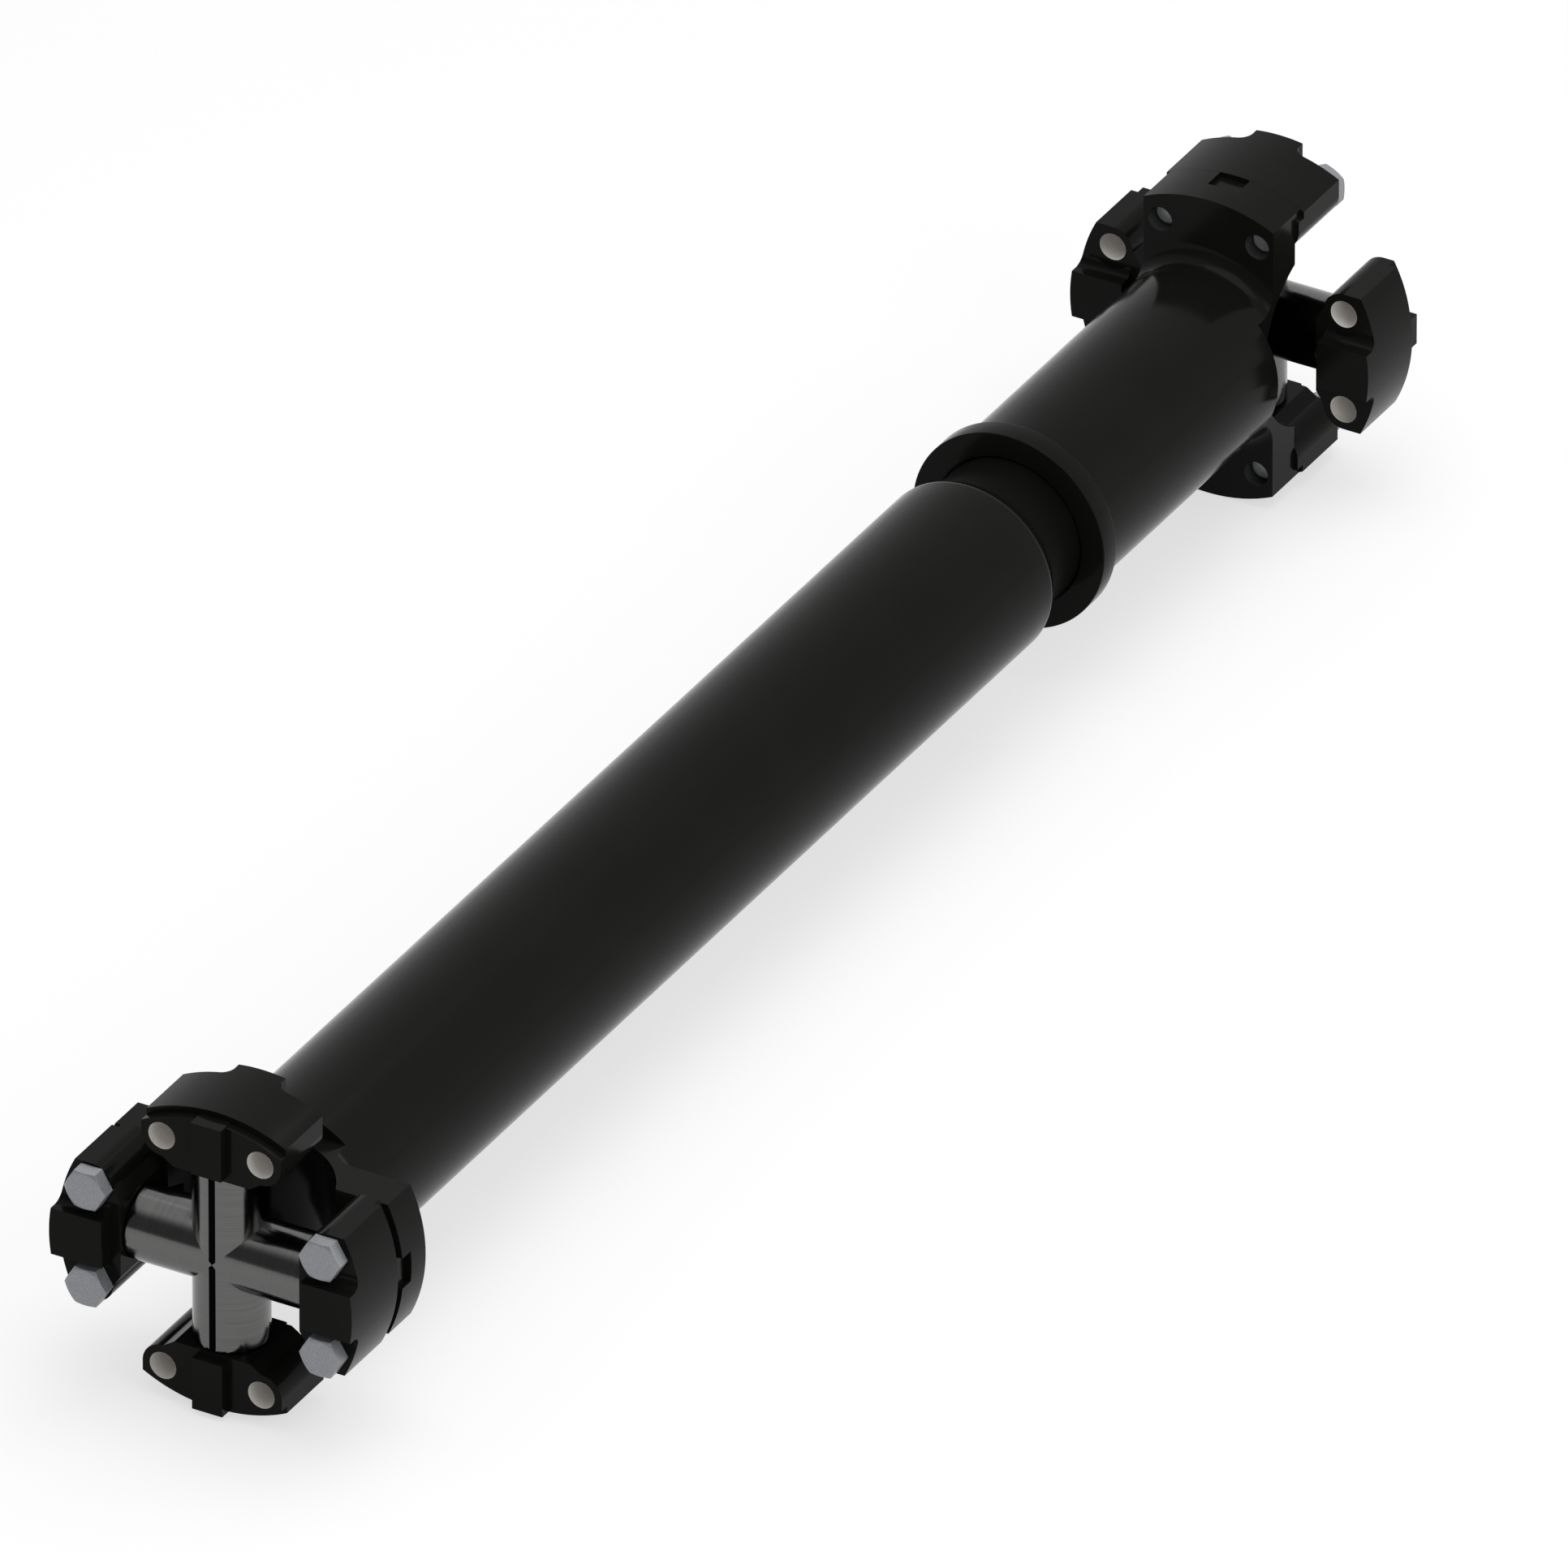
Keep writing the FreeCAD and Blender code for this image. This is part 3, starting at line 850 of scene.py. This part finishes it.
@dataclass
class CrossWork:
    """A cross: four round arms that meet in a mitre, with a ground journal on each.

    The line's half width is an angle in degrees; the line is a shallow groove with a painted dark reflection
    in it. The rows are those between the mitre and the shoulder's rounding, as shares of the way.
    """

    end: End
    arm_radius: float = 0.02275
    journal_radius: float = 0.013
    shoulder: float = 0.0585
    journal_end: float = 0.088
    edge_ease: float = 0.0008
    line_half: float = 5.7
    line_depth: float = 0.00025
    line_slack: float = 0.001
    line_reach: float = 0.9
    rows: tuple[float, ...] = (0.0, 0.03, 0.35, 0.65, 0.97, 1.0)
    columns: int = 128
    sharp: float = 25.0

    def in_line(self, ring: np.ndarray) -> np.ndarray:
        """True for the unit vectors round an arm that lie in its line, the groove that carries a painted
        dark reflection.
        """
        outboard = -self.end.inboard * ring[:, 1]
        return outboard + self.line_slack > math.cos(math.radians(self.line_half))

    def half_arm(self, arm: Arm) -> Patch:
        """One arm from the mitre to the journal's end.

        Its surface is a cylinder. The first row lies on the mitre, where the length along the arm is the
        radius times the part of the column's unit vector in the plane of the four arms. On a free arm the
        columns inside the line are sunk by the line's depth, a real shallow groove that carries a painted
        dark reflection, apart from the first and last row.

        Args:
            arm: the way that the arm points.

        Returns:
            The arm's patch.
        """
        axis = np.array(arm.value)
        centre = np.array([0.0, self.end.centre, 0.0])
        ring = ring_ways(axis, self.columns)
        mitre = self.arm_radius * np.linalg.norm(ring[:, [0, 2]], axis=1)
        tail = eased(np.array([
            (self.arm_radius, self.arm_radius), (self.arm_radius, self.shoulder),
            (self.journal_radius, self.shoulder), (self.journal_radius, self.journal_end),
            (0.0, self.journal_end),
        ]), self.edge_ease)[1:]
        share = np.array(self.rows)[:, None]
        start = mitre + share * (tail[0, 1] - mitre)
        sunk = np.zeros((len(share), self.columns))
        if arm in self.end.flange_arms:
            sunk = self.line_depth * (self.in_line(ring) & (share > 0) & (share < 1))
        radii = np.vstack([self.arm_radius - sunk, np.repeat(tail[1:, :1], self.columns, axis=1)])
        lengths = np.vstack([start, np.repeat(tail[1:, 1:], self.columns, axis=1)])
        finish = CrossFinish.GROUND_X if arm in (Arm.LEFT, Arm.RIGHT) else CrossFinish.GROUND_Z
        return Patch(round_grid(radii, lengths, centre, axis), finish=finish)

    def blacken(self, mesh: bpy.types.Mesh) -> None:
        """Gives the line along the outboard side of the free arms its own finish: a painted dark reflection,
        near black.

        A face is in the line if its middle lies on a free arm, outboard of the cross, and within half
        the line's width of the arm's middle plane.

        Args:
            mesh: the cross's mesh.
        """
        middle = face_vectors(mesh, "center") - [0.0, self.end.centre, 0.0]
        finish = np.zeros(len(mesh.polygons), np.int32)
        mesh.polygons.foreach_get("material_index", finish)
        along, across = (2, 0) if self.end is End.NEAR else (0, 2)
        half = self.arm_radius * math.sin(math.radians(self.line_half))
        on_arm = np.abs(middle[:, along]) > np.abs(middle[:, across])
        outboard = -self.end.inboard * middle[:, 1] > self.line_reach * self.arm_radius
        # The faces in the line take the near-black finish, a painted dark reflection.
        finish[on_arm & outboard & (np.abs(middle[:, across]) < half)] = int(CrossFinish.LINE)
        mesh.polygons.foreach_set("material_index", finish)

    def build(self, finishes: Finishes) -> None:
        """Makes and dresses the cross.

        Args:
            finishes: the shaft's finishes.
        """
        label = self.end.label
        piece = make_piece(f"{label}_cross_dressed", [self.half_arm(arm) for arm in Arm], self.sharp)
        self.blacken(piece.data)
        dress(piece, [finishes.cross_x, finishes.cross_z, finishes.line],
              f"{label}_cross_body", f"{label}_cross")


@dataclass
class BoltWork:
    """The four hex bolts that hold an end's yoke blocks, with the head's chamfer in degrees."""

    end: End
    seat: float = 0.025
    head_height: float = 0.010
    half_flats: float = 0.012
    shank_radius: float = 0.008
    tip: float = 0.041
    tip_bevel: float = 0.0015
    face_share: float = 0.95
    chamfer: float = 30.0
    ease: float = 0.0001
    columns: int = 96
    sharp: float = 20.0

    def bolt(self, arm: Arm, side: float) -> Patch:
        """One bolt, from the middle of its head's face to the middle of its tip.

        The head's radius is half the flats over the cosine of the angle to the nearest flat's middle. Its
        face is a circle, and from there a cone falls to the sides, so that it cuts an arc into each flat.

        Args:
            arm: the arm whose block the bolt holds.
            side: -1 or 1, for the two bolts of a block.

        Returns:
            The bolt's patch.
        """
        radial, inboard = np.array(arm.value), np.array([0.0, self.end.inboard, 0.0])
        across = np.cross(inboard, radial)
        centre = np.array([0.0, self.end.centre, 0.0])
        foot = centre + BOLT_ROW * radial + side * BOLT_HALF_PITCH * across
        ring = ring_ways(inboard, self.columns)
        heading = np.arctan2(ring @ across, ring @ radial)
        hexagon = self.half_flats / np.cos(np.mod(heading, np.pi / 3) - np.pi / 6)
        face, seat, ease = -self.seat - self.head_height, -self.seat, self.ease
        circle, shank = self.face_share * self.half_flats, self.shank_radius
        edge = face + (hexagon - circle) * math.tan(math.radians(self.chamfer))
        rows = [
            (0.0, face), (0.5 * circle, face),
            (circle - 2 * ease, face), (circle + 2 * ease, face + ease),
            (hexagon - ease, edge - 0.5 * ease), (hexagon, edge + ease),
            (hexagon, seat - 3 * ease), (hexagon - 3 * ease, seat),
            (shank, seat), (shank, self.tip - self.tip_bevel),
            (shank - self.tip_bevel, self.tip), (0.0, self.tip),
        ]
        radii = np.array([np.broadcast_to(radius, self.columns) for radius, _ in rows])
        lengths = np.array([np.broadcast_to(length, self.columns) for _, length in rows])
        return Patch(round_grid(radii, lengths, foot, inboard))

    def build(self, finishes: Finishes) -> None:
        """Makes and dresses the four bolts as one piece.

        Args:
            finishes: the shaft's finishes.
        """
        patches = [self.bolt(arm, side) for arm in self.end.yoke_arms for side in (-1.0, 1.0)]
        piece = make_piece(f"{self.end.label}_bolts_dressed", patches, self.sharp)
        dress(piece, [finishes.zinc], self.end.yoke_body, f"{self.end.label}_bolts")


@dataclass
class ForgedWork:
    """The forged yoke and the bearing blocks of one end: CAD forms with eased edges and bare holes."""

    end: End
    nodes: dict[str, bpy.types.Object]
    hole_radius: float = 0.00875
    thread_radius: float = 0.008
    hole_margin: float = 1.1
    wall_tilt: float = 0.1
    wall_finish: int = 1
    block_edge: float = 0.0005
    yoke_edge: float = 0.0007
    weld_line: float = 0.095

    def bare_holes(self, piece: bpy.types.Object, arms: tuple[Arm, ...], radius: float) -> None:
        """Gives the walls of bolt holes the second finish.

        A face is a hole's wall if its middle is within the hole's radius of the hole's axis, with a
        tenth to spare, and its normal stands square to the shaft.

        Args:
            piece: the piece whose faces are looked at.
            arms: the arms that carry the holes.
            radius: radius of the holes.
        """
        mesh = piece.data
        middle = face_vectors(mesh, "center")
        square = np.abs(face_vectors(mesh, "normal")[:, 1]) < self.wall_tilt
        finish = np.zeros(len(mesh.polygons), np.int32)
        for arm in arms:
            radial = np.array(arm.value)
            across = np.cross(ALONG_SHAFT, radial)
            for side in (-1.0, 1.0):
                axis = BOLT_ROW * radial + side * BOLT_HALF_PITCH * across
                off = np.linalg.norm((middle - axis)[:, [0, 2]], axis=1)
                finish[square & (off < radius * self.hole_margin)] = self.wall_finish
        mesh.polygons.foreach_set("material_index", finish)

    def block(self, role: str, arm: Arm, body: str, finishes: Finishes) -> None:
        """One bearing block.

        Args:
            role: yoke or flange, what the block is bolted to.
            arm: the arm that carries it.
            body: the CAD body that it rides on.
            finishes: the shaft's finishes.
        """
        node = f"{role}_{self.end.label}_{arm.label}_bearing_block"
        piece = eased_copy(f"{node}_dressed", self.nodes[node], self.block_edge)
        self.bare_holes(piece, (arm,), self.hole_radius)
        dress(piece, [finishes.paint, finishes.bore], body, node)

    def build(self, finishes: Finishes) -> None:
        """Makes and dresses the end's yoke and blocks.

        Args:
            finishes: the shaft's finishes.
        """
        node = "tube_yoke" if self.end is End.NEAR else "slip_yoke"
        weld = self.end.centre + self.end.inboard * self.weld_line
        yoke = eased_copy(f"{node}_dressed", self.nodes[node], self.yoke_edge, weld)
        self.bare_holes(yoke, self.end.yoke_arms, self.thread_radius)
        dress(yoke, [finishes.paint, finishes.thread], self.end.yoke_body, node)
        for arm in self.end.yoke_arms:
            self.block("yoke", arm, self.end.yoke_body, finishes)
        for arm in self.end.flange_arms:
            self.block("flange", arm, f"{self.end.label}_{arm.label}_bearing", finishes)


@dataclass
class BearingWork:
    """The CAD pieces inside the blocks and the wiper seal, which keep their forms."""

    nodes: dict[str, bpy.types.Object]

    def build(self, finishes: Finishes) -> None:
        """Dresses the rollers, thrust washers and seals.

        Args:
            finishes: the shaft's finishes.
        """
        for name, node in self.nodes.items():
            if name.endswith(("_rollers", "_thrust_washer")):
                material, slot = finishes.bearing, Slot.BEARING
            elif name.endswith("_seal"):
                material, slot = finishes.rubber, Slot.RUBBER
            else:
                continue
            node.data.materials.clear()
            node.data.materials.append(material)
            LOG.info("%s keeps its CAD form", name)


# Studio


@dataclass(frozen=True)
class Lamp:
    """A square soft lamp: its place, the length of its sides and its power in watts."""

    name: str
    place: Triple
    size: float
    power: float

    def build(self, aim: Triple) -> None:
        """Makes the lamp.

        Args:
            aim: the place that it points at.
        """
        data = bpy.data.lights.new(self.name, "AREA")
        data.size, data.energy = self.size, self.power
        pointed(self.name, data, Vector(self.place), Vector(aim) - Vector(self.place))


@dataclass
class Studio:
    """A pale floor, a white background, soft lamps and a long lens at the photo's angle.

    Angles are in degrees and the lens is in millimetres. The shift moves the camera right and up. The
    room is how strongly the world lights the object.
    """

    azimuth: float = 29.577
    elevation: float = 31.600
    lens: float = 1500.0
    distance: float = 37.824
    clip: Pair = (1.0, 100.0)
    aim: Triple = (0.0, 0.619, 0.0)
    shift: Pair = (0.02187, -0.00670)
    room: float = 0.55
    dim: float = 0.85
    dim_front: Pair = (-0.3, -0.7)
    dim_high: Pair = (0.0, 0.09)
    floor_height: float = -0.1003
    floor_half: float = 30.0
    floor_plain: float = 0.80
    floor_lit: float = 0.42
    floor_glow: float = 0.62
    lamps: tuple[Lamp, ...] = (
        Lamp("top_lamp", (0.3, 0.9, 2.6), size=2.4, power=34.0),
        Lamp("side_lamp", (2.6, -0.4, 1.4), size=1.8, power=16.0),
    )

    def camera(self) -> None:
        """Makes the camera: it looks from the azimuth and elevation at the aim, moved by the shift."""
        turn, rise = math.radians(self.azimuth), math.radians(self.elevation)
        back = Vector((math.sin(turn) * math.cos(rise), -math.cos(turn) * math.cos(rise), math.sin(rise)))
        right = Vector((math.cos(turn), math.sin(turn), 0.0))
        up = back.cross(right)
        data = bpy.data.cameras.new("camera")
        data.lens = self.lens
        data.clip_start, data.clip_end = self.clip
        place = Vector(self.aim) + right * self.shift[0] + up * self.shift[1] + back * self.distance
        bpy.context.scene.camera = pointed("camera", data, place, -back)

    def world(self) -> None:
        """A plain grey room for soft light, which the camera and reflections see as white.

        High up on the photographer's side the white falls off, as a studio's unlit wall does. With y and z
        the direction's parts and s(a, b, v) a smooth step from 0 at v = a to 1 at v = b, its strength is
        1 - dim * s(-0.3, -0.7, y) * s(0, 0.09, z).
        """
        world = bpy.data.worlds.new("room")
        bpy.context.scene.world = world
        sheet = NodeSheet(world, "ShaderNodeOutputWorld")
        soft, white = sheet.add("ShaderNodeBackground"), sheet.add("ShaderNodeBackground")
        soft.inputs["Color"].default_value = white.inputs["Color"].default_value = WHITE
        soft.inputs["Strength"].default_value = self.room
        way = sheet.add("ShaderNodeSeparateXYZ")
        sheet.join(sheet.add("ShaderNodeTexCoord").outputs["Generated"], way.inputs["Vector"])
        front = sheet.ranged(way.outputs["Y"], self.dim_front, (0.0, 1.0), "SMOOTHSTEP")
        high = sheet.ranged(way.outputs["Z"], self.dim_high, (0.0, 1.0), "SMOOTHSTEP")
        wall = sheet.maths("MULTIPLY", front, high)
        sheet.join(sheet.ranged(wall, (0.0, 1.0), (1.0, 1.0 - self.dim)), white.inputs["Strength"])
        sheet.split(soft.outputs["Background"], white.outputs["Background"])

    def floor(self) -> None:
        """A pale floor that keeps the shaft's soft shadow.

        To the rays that light the shaft it is plain pale grey. The camera and reflections see it darker,
        with a glow that lifts it to white and leaves the shadow.
        """
        half, z = self.floor_half, self.floor_height
        outline = [(-half, -half, z), (half, -half, z), (half, half, z), (-half, half, z)]
        mesh = bpy.data.meshes.new("floor")
        mesh.from_pydata(outline, [], [(0, 1, 2, 3)])
        floor = placed("floor", mesh)
        material = bpy.data.materials.new("pale_floor")
        sheet = NodeSheet(material, "ShaderNodeOutputMaterial")
        plain, lit = sheet.add("ShaderNodeBsdfDiffuse"), sheet.add("ShaderNodeBsdfDiffuse")
        glow, both = sheet.add("ShaderNodeEmission"), sheet.add("ShaderNodeAddShader")
        plain.inputs["Color"].default_value = grey(self.floor_plain)
        lit.inputs["Color"].default_value = grey(self.floor_lit)
        glow.inputs["Color"].default_value = WHITE
        glow.inputs["Strength"].default_value = self.floor_glow
        sheet.join(lit.outputs["BSDF"], both.inputs[0])
        sheet.join(glow.outputs["Emission"], both.inputs[1])
        sheet.split(plain.outputs["BSDF"], both.outputs["Shader"])
        mesh.materials.append(material)

    def build(self) -> None:
        """Makes the whole studio."""
        bpy.context.scene.view_settings.view_transform = "Standard"
        self.camera()
        self.world()
        self.floor()
        for lamp in self.lamps:
            lamp.build(self.aim)


def grey(value: float) -> tuple[float, float, float, float]:
    """A grey as a colour with full cover."""
    return (value, value, value, 1.0)


def main() -> None:
    """Builds every piece of the shaft and the studio round it."""
    logging.basicConfig(level=logging.INFO, format="%(name)s: %(message)s")
    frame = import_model()
    finishes = Finishes()
    TubeWork().build(finishes)
    for end in End:
        CrossWork(end).build(finishes)
        BoltWork(end).build(finishes)
        ForgedWork(end, frame["nodes"]).build(finishes)
    BearingWork(frame["nodes"]).build(finishes)
    Studio().build()


if __name__ == "__main__":
    main()
